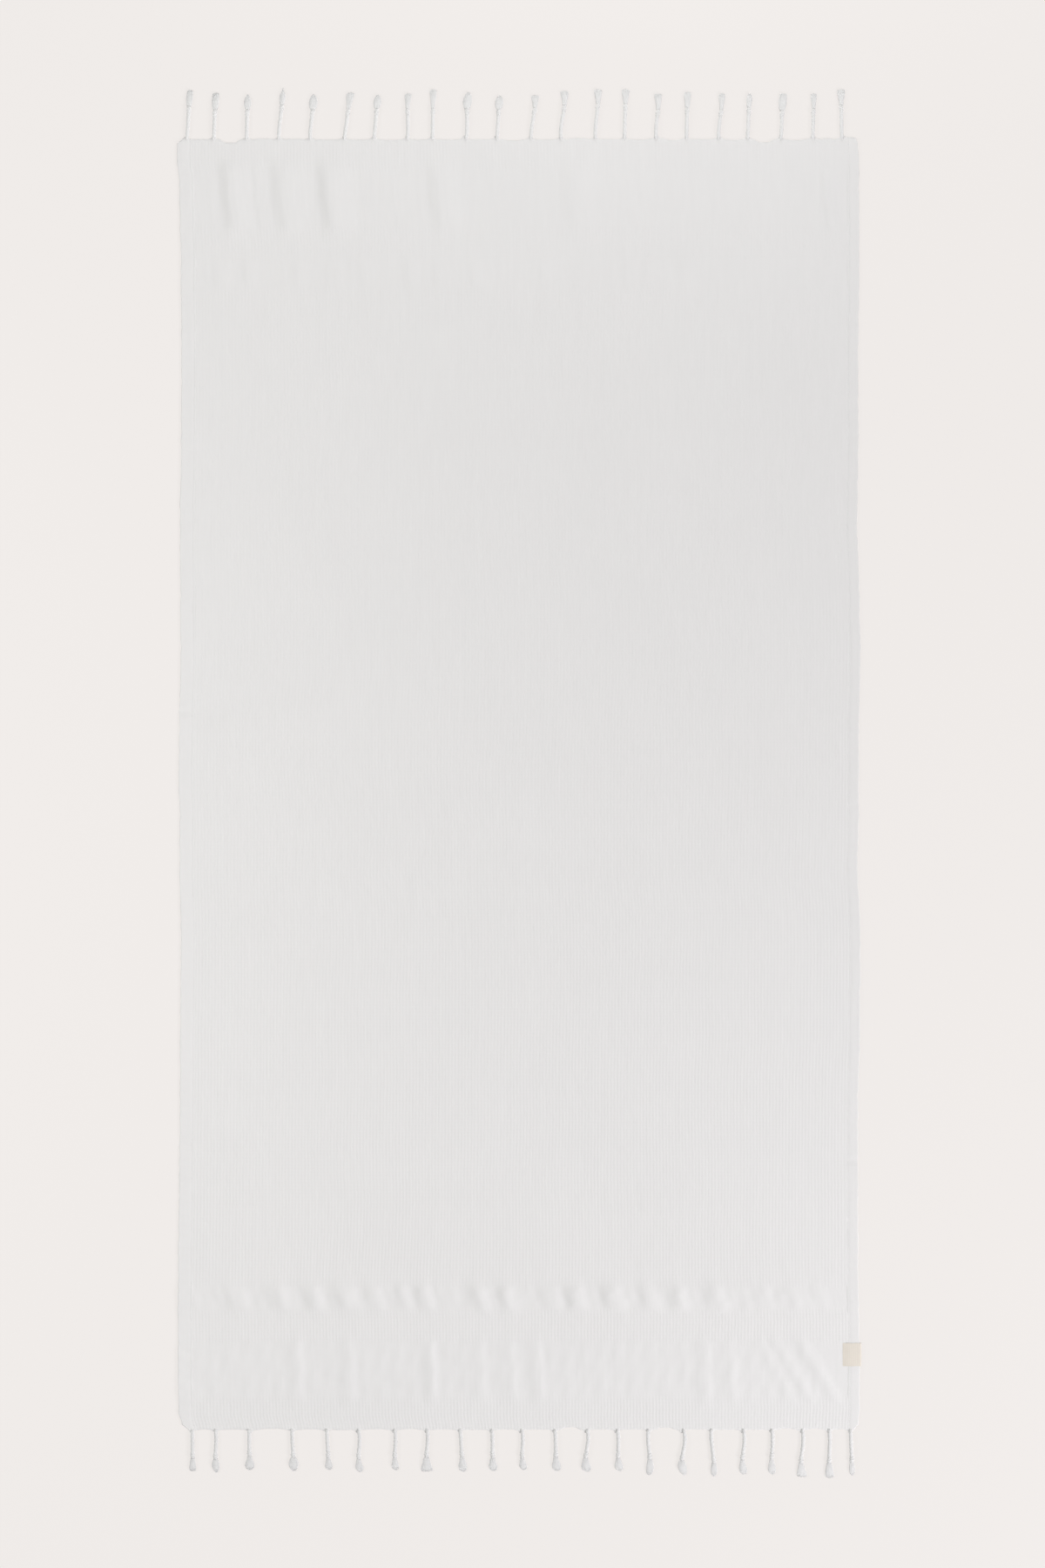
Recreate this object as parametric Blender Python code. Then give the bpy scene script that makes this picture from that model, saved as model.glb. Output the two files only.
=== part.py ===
"""Hammam towel lying flat: ribbed cotton cloth, a fringe of knotted tassels at each end, a side label.

The model is in metres, +Z up, with +Y along the towel and Z = 0 the surface that it lies on. Lengths
below are in millimetres, and mesh_object() turns them into metres. "Far" is the +Y end, "near" the -Y
end, and a table's columns are named by its tuple.
"""
import math
from collections import namedtuple

import bmesh
import bpy

MM = 0.001

# ---- cloth: one sheet, hemmed along both sides ----
THICKNESS = 2.0            # plain cloth, surface to surface
HEM_RISE = 0.6             # the turned hem stands this much above the cloth
HEM_LEFT = 19.0            # outer edge to the stitch line
HEM_RIGHT = 14.5
STITCH_DEPTH = 0.4         # the stitch line lies this much below the cloth
STITCH_SIDE = 2.0          # stitch line to the flat cloth or hem at either side of it
HEM_ROUND = 1.5            # the folded edge rounds off over this much
END_FAR = 847.0            # straight lines where the fringes part from the cloth
END_NEAR = -849.0

Edge = namedtuple("Edge", "y left right")      # distance of each hemmed edge from the centre line
EDGES = (
    Edge(848, 453.0, 450.0),
    Edge(827, 454.0, 450.5),
    Edge(795, 449.5, 451.0),
    Edge(692, 447.0, 451.0),
    Edge(553, 446.0, 448.5),
    Edge(345, 449.0, 448.0),
    Edge(240, 448.5, 451.5),
    Edge(172, 448.5, 453.0),
    Edge(69, 450.5, 449.5),
    Edge(0, 451.5, 448.5),
    Edge(-104, 447.0, 447.0),
    Edge(-208, 445.0, 450.5),
    Edge(-345, 449.5, 450.5),
    Edge(-416, 450.5, 446.5),
    Edge(-520, 452.0, 447.0),
    Edge(-635, 453.5, 448.5),
    Edge(-693, 454.0, 450.0),
    Edge(-756, 453.5, 452.0),
    Edge(-829, 451.5, 450.5),
    Edge(-849, 446.0, 449.5),
)

# ---- waffle ribs, which run the length of the body between the banded ends ----
BODY_FAR = 645.0
BODY_NEAR = -652.0
RIB_PITCH = 4.3
RIB_HEIGHT = 0.5
RIB_COUNT = 198
RIB_LEFT = -423.0

# ---- banded ends: plain-weave bands that pucker between ribbed strips ----
BAND_COLUMNS = 84          # columns of the mesh between the hems
BAND_FADE = 10.0           # a pucker rises from this far outside its band to this far inside it
FAR_ROWS = (645, 657, 668, 680, 692, 704, 726, 738, 756, 775, 794, 813, 827, END_FAR)
NEAR_ROWS = (-652, -664, -672, -680, -688, -696, -708, -728, -739, -756, -773, -784, -800, -815, -829,
             END_NEAR)

Pucker = namedtuple("Pucker", "x height half")     # its crest on the band's middle line, and crest to foot
Band = namedtuple("Band", "near far lean puckers") # lean: how far a crest moves to +X for each mm to -Y
BANDS = (
    Band(738, 813, 0.10, (
        Pucker(-378, 2.6, 24), Pucker(-347, 1.4, 12), Pucker(-308, 2.4, 28), Pucker(-246, 3.2, 25),
        Pucker(-101, 2.2, 28), Pucker(81, 1.6, 33), Pucker(414, 1.6, 14),
    )),
    Band(657, 692, 0.15, (
        Pucker(-393, 1.6, 16), Pucker(-355, 1.5, 14), Pucker(-291, 1.5, 15), Pucker(-245, 1.6, 19),
        Pucker(-201, 1.5, 15), Pucker(-141, 1.8, 15), Pucker(-101, 1.8, 16), Pucker(-54, 1.6, 14),
        Pucker(35, 1.6, 14), Pucker(148, 1.4, 14), Pucker(174, 1.3, 14), Pucker(223, 1.3, 14),
        Pucker(402, 1.4, 14),
    )),
    Band(-696, -664, 0.40, (
        Pucker(-374, 2.6, 22), Pucker(-317, 3.6, 22), Pucker(-272, 3.6, 18), Pucker(-231, 3.6, 22),
        Pucker(-190, 2.8, 16), Pucker(-152, 2.2, 14), Pucker(-123, 3.6, 15), Pucker(-52, 3.6, 17),
        Pucker(-16, 3.6, 17), Pucker(41, 2.2, 19), Pucker(74, 3.6, 18), Pucker(123, 3.6, 21),
        Pucker(171, 2.8, 16), Pucker(211, 3.4, 19), Pucker(261, 3.2, 20), Pucker(322, 1.8, 16),
        Pucker(363, 1.6, 16), Pucker(400, 1.8, 15),
    )),
    Band(-815, -739, 0.05, (
        Pucker(-299, 2.2, 18), Pucker(-227, 2.0, 16), Pucker(-118, 2.6, 15), Pucker(-55, 1.6, 18),
        Pucker(-14, 2.0, 16), Pucker(23, 2.2, 15), Pucker(246, 1.8, 15), Pucker(278, 1.8, 15),
        Pucker(333, 1.6, 14), Pucker(365, 2.0, 16),
    )),
)

# ---- fringes: a narrow strip of the cloth's end with its tassels fused to it ----
GAP = 0.3                  # between pieces that touch on the real towel
STRIP_SHOULDER = 6.5       # the strip's edge starts to rise this far from a tassel's middle
ROOT_HALF = 2.2            # half the width of a tassel where it leaves the strip
CORD_WIDE = 2.4            # a twisted cord's section, middle to corner, along and across
CORD_NARROW = 1.7
CORD_STEPS = 9
KNOT_STEPS = 3
STEP_TWIST = math.radians(60)    # 12 steps make two whole turns, which brings the corners back in order
KNOT_SIZE = 3.6            # middle to corner
KNOT_LENGTH = 7.0
TUFT_HEIGHT = 4.0
LOCK_GAP = 0.5             # between the locks of a tuft
LOCKS = 3

# root, tip: the tassel's X at either end. reach: tip to the strip's inner edge. bow: sideways S-bend.
# tuft, flare: the tuft's length and width. scoop: how far the cloth's end draws in after this tassel.
Tassel = namedtuple("Tassel", "root tip reach bow tuft flare scoop")
FAR_TASSELS = (
    Tassel(-439.5, -435.0, 72.0, 0.0, 25, 9.0, 0.0),
    Tassel(-404.0, -401.0, 68.5, 0.0, 23, 10.5, 4.6),
    Tassel(-360.5, -358.5, 66.0, 0.0, 22, 10.0, -1.0),
    Tassel(-318.0, -312.0, 75.5, -0.5, 26, 9.0, -0.5),
    Tassel(-276.5, -271.5, 66.0, -0.5, 22, 12.0, 0.5),
    Tassel(-231.5, -223.5, 68.5, 0.0, 23, 9.5, 0.5),
    Tassel(-192.0, -186.0, 66.0, 0.0, 21, 11.0, 1.0),
    Tassel(-147.5, -146.0, 67.5, 0.5, 20, 9.0, 0.5),
    Tassel(-114.0, -113.0, 73.0, 0.0, 24, 10.0, 0.5),
    Tassel(-70.5, -66.0, 69.5, 1.0, 25, 12.5, 0.0),
    Tassel(-29.0, -25.0, 65.0, 0.0, 21, 11.5, 1.7),
    Tassel(16.5, 22.0, 65.0, -1.0, 19, 10.5, 0.5),
    Tassel(56.5, 60.5, 71.0, -1.5, 22, 11.0, -1.5),
    Tassel(102.0, 105.0, 73.0, -1.0, 22, 11.0, 0.0),
    Tassel(140.0, 142.0, 73.0, 0.0, 22, 11.0, 0.5),
    Tassel(182.5, 184.5, 67.5, -1.0, 20, 10.5, 1.0),
    Tassel(222.0, 224.0, 69.5, 0.0, 22, 10.0, 0.0),
    Tassel(265.0, 269.0, 67.5, -1.0, 22, 10.0, 0.8),
    Tassel(303.0, 306.0, 67.5, 0.0, 21, 8.0, 4.0),
    Tassel(346.5, 351.0, 67.5, 0.5, 22, 11.5, 1.2),
    Tassel(389.5, 391.0, 67.5, 0.0, 21, 8.0, -1.2),
    Tassel(428.0, 427.0, 73.0, 0.0, 21, 10.5, -1.2),
)
NEAR_TASSELS = (
    Tassel(-432.0, -431.5, 62.0, 0.0, 19, 9.5, 0.5),
    Tassel(-402.0, -400.0, 64.0, 1.0, 20, 10.5, 0.5),
    Tassel(-357.0, -356.0, 60.5, 0.0, 20, 13.0, 1.5),
    Tassel(-300.5, -297.5, 62.0, 0.0, 20, 13.5, 0.8),
    Tassel(-254.5, -251.0, 60.5, 0.0, 18, 10.5, -0.5),
    Tassel(-213.0, -209.5, 63.0, 1.5, 19, 11.0, 0.8),
    Tassel(-164.5, -162.5, 60.5, 1.0, 18, 10.5, 1.2),
    Tassel(-121.5, -121.0, 63.0, 1.0, 21, 16.0, 0.5),
    Tassel(-77.5, -73.5, 63.0, 0.0, 22, 12.0, 0.0),
    Tassel(-36.0, -33.0, 62.0, 0.5, 20, 12.0, 0.5),
    Tassel(3.0, 7.5, 60.5, 1.5, 18, 10.5, 0.5),
    Tassel(47.5, 51.0, 62.0, 0.5, 21, 12.5, 3.5),
    Tassel(90.0, 91.0, 63.0, 2.0, 21, 13.5, 0.5),
    Tassel(130.0, 134.0, 62.0, 1.0, 20, 12.0, 0.5),
    Tassel(172.5, 173.0, 67.5, -1.2, 23, 10.5, 2.9),
    Tassel(216.5, 220.0, 67.5, 3.0, 22, 12.5, 0.5),
    Tassel(255.5, 258.5, 69.0, -1.0, 20, 9.0, 0.0),
    Tassel(296.5, 299.0, 66.5, 2.0, 22, 11.0, 0.0),
    Tassel(335.0, 336.5, 66.5, 1.0, 23, 11.0, 1.5),
    Tassel(375.0, 376.0, 70.0, 1.8, 21, 13.5, 1.5),
    Tassel(411.0, 412.5, 71.0, 0.8, 22, 12.0, 0.8),
    Tassel(439.5, 442.0, 67.5, 0.0, 19, 8.0, 0.5),
)

# A fringe's strip: edge and peak are its outer edge's distance from its inner edge, between the tassels
# and at their roots. corners are the strip's (X, distance) points outside the first and last tassel.
Fringe = namedtuple("Fringe", "name tassels line side edge peak left_corner right_corner")
FRINGES = (
    Fringe("fringe_far", FAR_TASSELS, END_FAR + GAP, 1, 6.2, 9.6,
           ((-453.0, 0.6), (-447.5, 5.0)), ((434.5, 9.0), (447.0, 8.8), (450.0, 0.6))),
    Fringe("fringe_near", NEAR_TASSELS, END_NEAR - GAP, -1, 7.0, 10.0,
           ((-445.5, 0.6), (-437.5, 6.0)), ((445.5, 5.5), (449.0, 0.6))),
)

# ---- label: a tape folded round the right hem and sewn down ----
LABEL_Y = -756.0
LABEL_LENGTH = 30.6        # along the hem
LABEL_INNER = 429.2        # X of its two cut ends
LABEL_FOLD = 452.0         # X where the fold begins
LABEL_TAPE = 0.8
LABEL_LIFT = LABEL_TAPE + 0.5                             # the hem rises over the tape's lower leg
LABEL_TOP = LABEL_LIFT + THICKNESS + HEM_RISE + GAP + LABEL_TAPE
LABEL_FADE = 11.0          # the cloth settles back over this length beside the label
LABEL_RAMP_START = 388.0   # and over this stretch of X inwards of it
LABEL_RAMP_END = 404.0
FOLD_STEPS = 6

# name: base colour, roughness
FINISHES = {
    "cloth": ((0.80, 0.80, 0.79), 0.92),
    "fringe_far": ((0.78, 0.79, 0.79), 0.94),
    "fringe_near": ((0.78, 0.79, 0.79), 0.94),
    "label": ((0.74, 0.69, 0.60), 0.80),
}


def blend(a, b, t):
    return a + (b - a) * t


def ease(t):
    """Rise smoothly from 0 to 1 as t does, and hold outside that."""
    t = min(max(t, 0.0), 1.0)
    return t * t * (3.0 - 2.0 * t)


def edge_at(y):
    """Distances of the left and the right edge from the centre line at y."""
    for upper, lower in zip(EDGES, EDGES[1:]):
        if y >= lower.y:
            break
    t = ease((upper.y - y) / (upper.y - lower.y))
    return blend(upper.left, lower.left, t), blend(upper.right, lower.right, t)


def rise_at(x, y):
    """Height of the cloth's underside: its puckers, and the lift over the label's lower leg."""
    rise = 0.0
    for band in BANDS:
        middle = (band.near + band.far) / 2
        half_band = (band.far - band.near) / 2
        share = ease((half_band + BAND_FADE - abs(y - middle)) / (2 * BAND_FADE))
        if share == 0.0:
            continue
        for pucker in band.puckers:
            off = abs(x - pucker.x - band.lean * (middle - y))
            if off < pucker.half:
                rise += share * pucker.height * (1 + math.cos(math.pi * off / pucker.half)) / 2
    along = ease((LABEL_LENGTH / 2 + 1.5 + LABEL_FADE - abs(y - LABEL_Y)) / LABEL_FADE)
    across = ease((x - LABEL_RAMP_START) / (LABEL_RAMP_END - LABEL_RAMP_START))
    return rise + LABEL_LIFT * along * across


def ribbed_columns():
    """(X, height) across the ribs, foot and crest in turn."""
    count = 2 * RIB_COUNT
    low = THICKNESS - RIB_HEIGHT / 2
    return [(RIB_LEFT + i * RIB_PITCH / 2, low + RIB_HEIGHT * (i % 2)) for i in range(count + 1)]


def plain_columns(y):
    """(X, height) across the plain cloth between the hems."""
    left, right = edge_at(y)
    start = -left + HEM_LEFT + STITCH_SIDE
    end = right - HEM_RIGHT - STITCH_SIDE
    return [(blend(start, end, i / BAND_COLUMNS), THICKNESS) for i in range(BAND_COLUMNS + 1)]


def hem_columns(edge, hem, side):
    """(X, height) of one hem, from its outer edge to its stitch line. side is -1 at the left."""
    hem_top = THICKNESS + HEM_RISE
    steps = (
        (0.0, hem_top / 2),
        (HEM_ROUND, hem_top),
        (hem - STITCH_SIDE, hem_top),
        (hem, THICKNESS - STITCH_DEPTH),
    )
    return [(side * (edge - inset), height) for inset, height in steps]


def top_row(bm, y, middle_columns):
    """Vertices of the upper surface across the cloth at y, from the left edge to the right."""
    left, right = edge_at(y)
    columns = hem_columns(left, HEM_LEFT, -1) + middle_columns
    columns += reversed(hem_columns(right, HEM_RIGHT, 1))
    return [bm.verts.new((x, y, height + rise_at(x, y))) for x, height in columns]


def under_row(bm, y):
    """Vertices of the underside across the cloth at y, in half as many columns."""
    left, right = edge_at(y)
    columns = [x for x, _ in plain_columns(y)[::2]]
    columns = [-left + HEM_ROUND] + columns + [right - HEM_ROUND]
    return [bm.verts.new((x, y, rise_at(x, y))) for x in columns]


def spans(chain):
    """How far along its chain each vertex lies, from 0 to 1, seen from above."""
    steps = [(b.co.xy - a.co.xy).length for a, b in zip(chain, chain[1:])]
    total = sum(steps)
    lengths = [0.0]
    for step in steps:
        lengths.append(lengths[-1] + step / total)
    return lengths


def skin(bm, a, b):
    """Faces between two chains of vertices, which may have different numbers of them."""
    if len(a) == len(b):
        for i in range(len(a) - 1):
            bm.faces.new((a[i], a[i + 1], b[i + 1], b[i]))
        return
    span_a = spans(a)
    span_b = spans(b)
    i = j = 0
    while i < len(a) - 1 or j < len(b) - 1:
        step_a = j == len(b) - 1 or (i < len(a) - 1 and span_a[i + 1] <= span_b[j + 1])
        if step_a:
            bm.faces.new((a[i], a[i + 1], b[j]))
            i += 1
        else:
            bm.faces.new((a[i], b[j + 1], b[j]))
            j += 1


def mesh_object(name, bm):
    """A closed mesh in millimetres becomes an object in metres with its own material."""
    for vert in bm.verts:
        vert.co *= MM
    bmesh.ops.recalc_face_normals(bm, faces=bm.faces)
    bmesh.ops.triangulate(bm, faces=bm.faces)
    mesh = bpy.data.meshes.new(name)
    bm.to_mesh(mesh)
    bm.free()
    colour, roughness = FINISHES[name]
    material = bpy.data.materials.new(name)
    material.use_nodes = True
    shader = material.node_tree.nodes["Principled BSDF"]
    shader.inputs["Base Color"].default_value = (*colour, 1.0)
    shader.inputs["Roughness"].default_value = roughness
    shader.inputs["Metallic"].default_value = 0.0
    mesh.materials.append(material)
    piece = bpy.data.objects.new(name, mesh)
    bpy.context.scene.collection.objects.link(piece)
    return piece


def make_body(bm, far_top, near_top, far_under, near_under):
    """The ribbed body between two rows. Its hems follow the edges, and its ribs run straight."""
    stations = [edge.y for edge in EDGES if BODY_NEAR < edge.y < BODY_FAR]
    inner_y = [(edge_at(y), y) for y in stations]
    left_hem = [[] for _ in hem_columns(0, HEM_LEFT, -1)]
    right_hem = [[] for _ in hem_columns(0, HEM_RIGHT, 1)]
    left_under = []
    right_under = []
    for (left, right), y in inner_y:
        for chain, (x, height) in zip(left_hem, hem_columns(left, HEM_LEFT, -1)):
            chain.append(bm.verts.new((x, y, height)))
        for chain, (x, height) in zip(right_hem, hem_columns(right, HEM_RIGHT, 1)):
            chain.append(bm.verts.new((x, y, height)))
        left_under.append(bm.verts.new((-left + HEM_ROUND, y, 0.0)))
        right_under.append(bm.verts.new((right - HEM_ROUND, y, 0.0)))
    rib_chains = [[] for _ in range(len(far_top) - len(left_hem) - len(right_hem))]
    chains = left_hem + rib_chains + right_hem[::-1]
    chains = [[far, *chain, near] for far, chain, near in zip(far_top, chains, near_top)]
    for a, b in zip(chains, chains[1:]):
        skin(bm, a, b)
    skin(bm, chains[0], [far_under[0], *left_under, near_under[0]])
    skin(bm, chains[-1], [far_under[-1], *right_under, near_under[-1]])
    bm.faces.new(far_under + right_under + near_under[::-1] + left_under[::-1])


def make_end(bm, rows):
    """A banded end: returns its first rows, and closes the sheet at its last."""
    first = ribbed_columns()
    tops = [top_row(bm, rows[0], first)]
    tops += [top_row(bm, y, plain_columns(y)) for y in rows[1:]]
    unders = [under_row(bm, y) for y in rows]
    for chains in (tops, unders):
        for a, b in zip(chains, chains[1:]):
            skin(bm, a, b)
    for index in (0, -1):
        skin(bm, [row[index] for row in tops], [row[index] for row in unders])
    skin(bm, tops[-1], unders[-1])
    return tops[0], unders[0]


def make_cloth():
    bm = bmesh.new()
    far_top, far_under = make_end(bm, FAR_ROWS)
    near_top, near_under = make_end(bm, NEAR_ROWS)
    make_body(bm, far_top, near_top, far_under, near_under)
    return mesh_object("cloth", bm)


def strip_stations(fringe):
    """(X, outer edge's distance) along a fringe's strip, and where in that list each tassel starts."""
    stations = list(fringe.left_corner)
    roots = []
    last = len(fringe.tassels) - 1
    for i, tassel in enumerate(fringe.tassels):
        if i > 0:
            stations.append((tassel.root - STRIP_SHOULDER, fringe.edge))
        roots.append(len(stations))
        stations.append((tassel.root - ROOT_HALF, fringe.peak))
        stations.append((tassel.root + ROOT_HALF, fringe.peak))
        if i < last:
            middle = (tassel.root + fringe.tassels[i + 1].root) / 2
            stations.append((tassel.root + STRIP_SHOULDER, fringe.edge))
            stations.append((middle, fringe.edge - tassel.scoop))
    return stations + list(fringe.right_corner), roots


def cord_ring(bm, fringe, spot, across, wide, narrow, twist):
    """Four corners of a strand's section, turned by twist and resting on the floor."""
    points = []
    for corner in range(4):
        radius = wide if corner % 2 == 0 else narrow
        angle = twist + math.radians(225 + 90 * corner)
        points.append((radius * math.cos(angle), radius * math.sin(angle)))
    floor = min(height for _, height in points)
    return [
        bm.verts.new((spot[0] + side * across[0], spot[1] + side * across[1], height - floor))
        for side, height in points
    ]


def tassel_path(fringe, tassel, distance):
    """Where a tassel's middle line is at a distance from the strip's inner edge, and its sideways unit."""
    def place(d):
        share = d / tassel.reach
        x = blend(tassel.root, tassel.tip, share) + tassel.bow * math.sin(2 * math.pi * share)
        return x, fringe.line + fringe.side * d
    x, y = place(distance)
    x_next, y_next = place(distance + 1.0)
    length = math.hypot(x_next - x, y_next - y)
    return (x, y), ((y_next - y) / length * fringe.side, -(x_next - x) / length * fringe.side)


def make_tassel(bm, fringe, tassel, root_ring):
    """A twisted cord, a knot and a tuft of locks, grown from the strip's four root vertices."""
    knot_start = tassel.reach - tassel.tuft - KNOT_LENGTH
    ring = root_ring
    for step in range(1, CORD_STEPS + KNOT_STEPS + 1):
        in_knot = step - CORD_STEPS
        if in_knot <= 0:
            distance = blend(fringe.peak, knot_start, step / CORD_STEPS)
            wide, narrow = CORD_WIDE, CORD_NARROW
        else:
            distance = knot_start + KNOT_LENGTH * in_knot / KNOT_STEPS
            wide = narrow = KNOT_SIZE if in_knot < KNOT_STEPS else CORD_WIDE
        spot, across = tassel_path(fringe, tassel, distance)
        after = cord_ring(bm, fringe, spot, across, wide, narrow, step * STEP_TWIST)
        skin(bm, ring + ring[:1], after + after[:1])
        ring = after
    make_tuft(bm, fringe, tassel, ring)


def make_tuft(bm, fringe, tassel, ring):
    """Locks side by side, which part from a shared root just past the knot."""
    start = tassel.reach - tassel.tuft
    lock_width = tassel.flare / LOCKS

    def section(distance, offsets, height):
        spot, across = tassel_path(fringe, tassel, distance)
        return [
            [bm.verts.new((spot[0] + off * across[0], spot[1] + off * across[1], z)) for off in offsets]
            for z in (0.0, height)
        ]

    half = tassel.flare * 0.36
    offsets = [blend(-half, half, i / LOCKS) for i in range(LOCKS + 1)]
    low, high = section(start + tassel.tuft * 0.16, offsets, TUFT_HEIGHT * 0.9)
    low_left, low_right, high_right, high_left = ring
    bm.faces.new([low_left, low_right] + low[::-1])
    bm.faces.new([high_left, high_right] + high[::-1])
    bm.faces.new((low_left, low[0], high[0], high_left))
    bm.faces.new((low_right, high_right, high[-1], low[-1]))
    for i in range(LOCKS):
        base = [low[i], low[i + 1], high[i + 1], high[i]]
        middle = (i - (LOCKS - 1) / 2) * lock_width
        end = tassel.tuft * (1.0 if i == LOCKS // 2 else 0.92)
        sections = (
            (tassel.tuft * 0.62, middle, lock_width / 2 - LOCK_GAP / 2, TUFT_HEIGHT),
            (end, middle * 0.92, lock_width * 0.26, TUFT_HEIGHT * 0.45),
        )
        for distance, centre, half_width, height in sections:
            flat, raised = section(start + distance, (centre - half_width, centre + half_width), height)
            after = [flat[0], flat[1], raised[1], raised[0]]
            skin(bm, base + base[:1], after + after[:1])
            base = after
        bm.faces.new(base)


def make_fringe(fringe):
    """The strip along one end of the cloth, with a tassel in place of its outer wall at each root."""
    bm = bmesh.new()
    stations, roots = strip_stations(fringe)
    sections = []
    for x, distance in stations:
        inner = fringe.line
        outer = fringe.line + fringe.side * distance
        corners = ((inner, 0.0), (inner, THICKNESS), (outer, THICKNESS), (outer, 0.0))
        sections.append([bm.verts.new((x, y, z)) for y, z in corners])
    for i, (a, b) in enumerate(zip(sections, sections[1:])):
        for k in range(4):
            if k == 2 and i in roots:
                continue
            after = (k + 1) % 4
            bm.faces.new((a[k], a[after], b[after], b[k]))
    bm.faces.new(sections[0])
    bm.faces.new(sections[-1])
    for tassel, root in zip(fringe.tassels, roots):
        a = sections[root]
        b = sections[root + 1]
        make_tassel(bm, fringe, tassel, [a[3], b[3], b[2], a[2]])
    return mesh_object(fringe.name, bm)


def make_label():
    """A tape of even thickness bent round the hem: upper leg, round fold, lower leg."""
    outer_radius = LABEL_TOP / 2
    outline = []
    for radius, turn in ((outer_radius, 1), (outer_radius - LABEL_TAPE, -1)):
        leg = [(LABEL_INNER, outer_radius + turn * radius)]
        angles = [math.radians(90 - 180 * i / FOLD_STEPS) * turn for i in range(FOLD_STEPS + 1)]
        fold = [(LABEL_FOLD + radius * math.cos(a), outer_radius + radius * math.sin(a)) for a in angles]
        outline += leg + fold + [(LABEL_INNER, outer_radius - turn * radius)]
    bm = bmesh.new()
    ends = []
    for y in (LABEL_Y - LABEL_LENGTH / 2, LABEL_Y + LABEL_LENGTH / 2):
        ends.append([bm.verts.new((x, y, z)) for x, z in outline])
        bm.faces.new(ends[-1])
    skin(bm, ends[0] + ends[0][:1], ends[1] + ends[1][:1])
    return mesh_object("label", bm)


def centre_on_origin(pieces):
    """Move every mesh so that the whole towel's box is centred on the Z axis."""
    points = [vert.co for piece in pieces for vert in piece.data.vertices]
    middle = [(min(p[axis] for p in points) + max(p[axis] for p in points)) / 2 for axis in (0, 1)]
    for piece in pieces:
        for vert in piece.data.vertices:
            vert.co.x -= middle[0]
            vert.co.y -= middle[1]


def main():
    for leftover in list(bpy.data.objects):
        bpy.data.objects.remove(leftover)
    pieces = [make_cloth(), make_label()]
    pieces += [make_fringe(fringe) for fringe in FRINGES]
    centre_on_origin(pieces)


main()
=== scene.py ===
"""Looks of the hammam towel lying flat: waffle-weave cloth, stitched hems, tasselled ends, side label.

Lengths are in millimetres on the towel's own plan, whose zero is on its centre lines and on the
floor, and place() turns them into the frame's metres. "Far" is the +Y end, "near" the -Y end. A
table's columns are named by its tuple. The outline, puckers, tassels and label follow those of the
CAD model.
"""
import math
from collections import namedtuple

import bmesh
import bpy
import numpy as np
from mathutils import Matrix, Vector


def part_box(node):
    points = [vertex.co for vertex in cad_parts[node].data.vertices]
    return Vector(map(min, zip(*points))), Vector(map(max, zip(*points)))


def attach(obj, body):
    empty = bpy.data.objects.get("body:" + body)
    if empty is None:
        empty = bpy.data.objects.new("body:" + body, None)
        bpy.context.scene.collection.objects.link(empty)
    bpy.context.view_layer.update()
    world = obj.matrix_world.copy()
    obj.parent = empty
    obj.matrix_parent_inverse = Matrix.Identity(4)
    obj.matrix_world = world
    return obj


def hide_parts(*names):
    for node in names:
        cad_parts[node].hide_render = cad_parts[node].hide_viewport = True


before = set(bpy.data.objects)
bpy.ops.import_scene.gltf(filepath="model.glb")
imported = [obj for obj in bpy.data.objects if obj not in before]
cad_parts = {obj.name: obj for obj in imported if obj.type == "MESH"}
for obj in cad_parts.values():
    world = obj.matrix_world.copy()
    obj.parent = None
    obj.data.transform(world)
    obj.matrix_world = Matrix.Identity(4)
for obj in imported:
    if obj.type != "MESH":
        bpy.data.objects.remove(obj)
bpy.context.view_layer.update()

MM = 0.001
TURN = 2 * math.pi

# ---- outline ----
HEM_LEFT = 19.0            # outer edge to the hem's inner edge
HEM_RIGHT = 14.5
END_FAR = 847.0            # straight lines from which the ends are drawn out to the tassels
END_NEAR = -849.0
DRAWN = 24.0               # the cloth is drawn out over this length

Edge = namedtuple("Edge", "y left right")      # distance of each hemmed edge from the centre line
EDGES = (
    Edge(-849, 446.0, 450.3),
    Edge(-829, 450.8, 451.5),
    Edge(-756, 451.2, 452.0),
    Edge(-693, 451.4, 450.6),
    Edge(-635, 451.0, 449.6),
    Edge(-520, 449.6, 449.5),
    Edge(-416, 448.4, 449.4),
    Edge(-345, 448.3, 452.0),
    Edge(-208, 447.2, 452.8),
    Edge(-104, 449.2, 448.8),
    Edge(-46, 448.6, 450.5),
    Edge(0, 450.4, 450.6),
    Edge(69, 449.6, 450.7),
    Edge(172, 447.6, 453.0),
    Edge(240, 448.0, 451.6),
    Edge(345, 448.5, 448.6),
    Edge(450, 447.1, 450.2),
    Edge(553, 446.5, 449.8),
    Edge(692, 447.4, 451.3),
    Edge(795, 449.5, 451.0),
    Edge(827, 452.6, 450.5),
    Edge(848, 452.2, 450.0),
)
EDGE_WAVE = 0.35           # small waves of the hemmed edges

# ---- weave ----
RIBS = 201                 # waffle ribs between the hems
RIB_COLUMNS = 4            # columns of the mesh for each rib
RIB_RELIEF = 0.34          # valley to crest, in the near half
RELIEF_FAR = 0.4           # share of it in the far half, where the ribs lie flatter
RELIEF_FADE = (-300, 700)  # where its height begins to fade towards the far end, and over how long
CELL = 4.7                 # the waffle's cross lines, which its bump shows
WAFFLE_TOP = 2.15          # height of the waffle's middle, and of the plain bands
PLAIN_TOP = 1.75
CLOTH_EDGE = 1.25          # height of the cloth's end
CLOTH_ROUND = 1.6          # the end rounds off over this length
TUCK = 3.0                 # the cloth's sides tuck so far into the hems
TUCK_HEIGHT = 1.0
BAND_TURN = 3.0            # waffle turns into plain weave over this length
UNDER_EVERY = 6            # the underside has one column for so many of the top's
UNDER_INSET = 3.2          # and ends this far inside the top's edge
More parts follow.
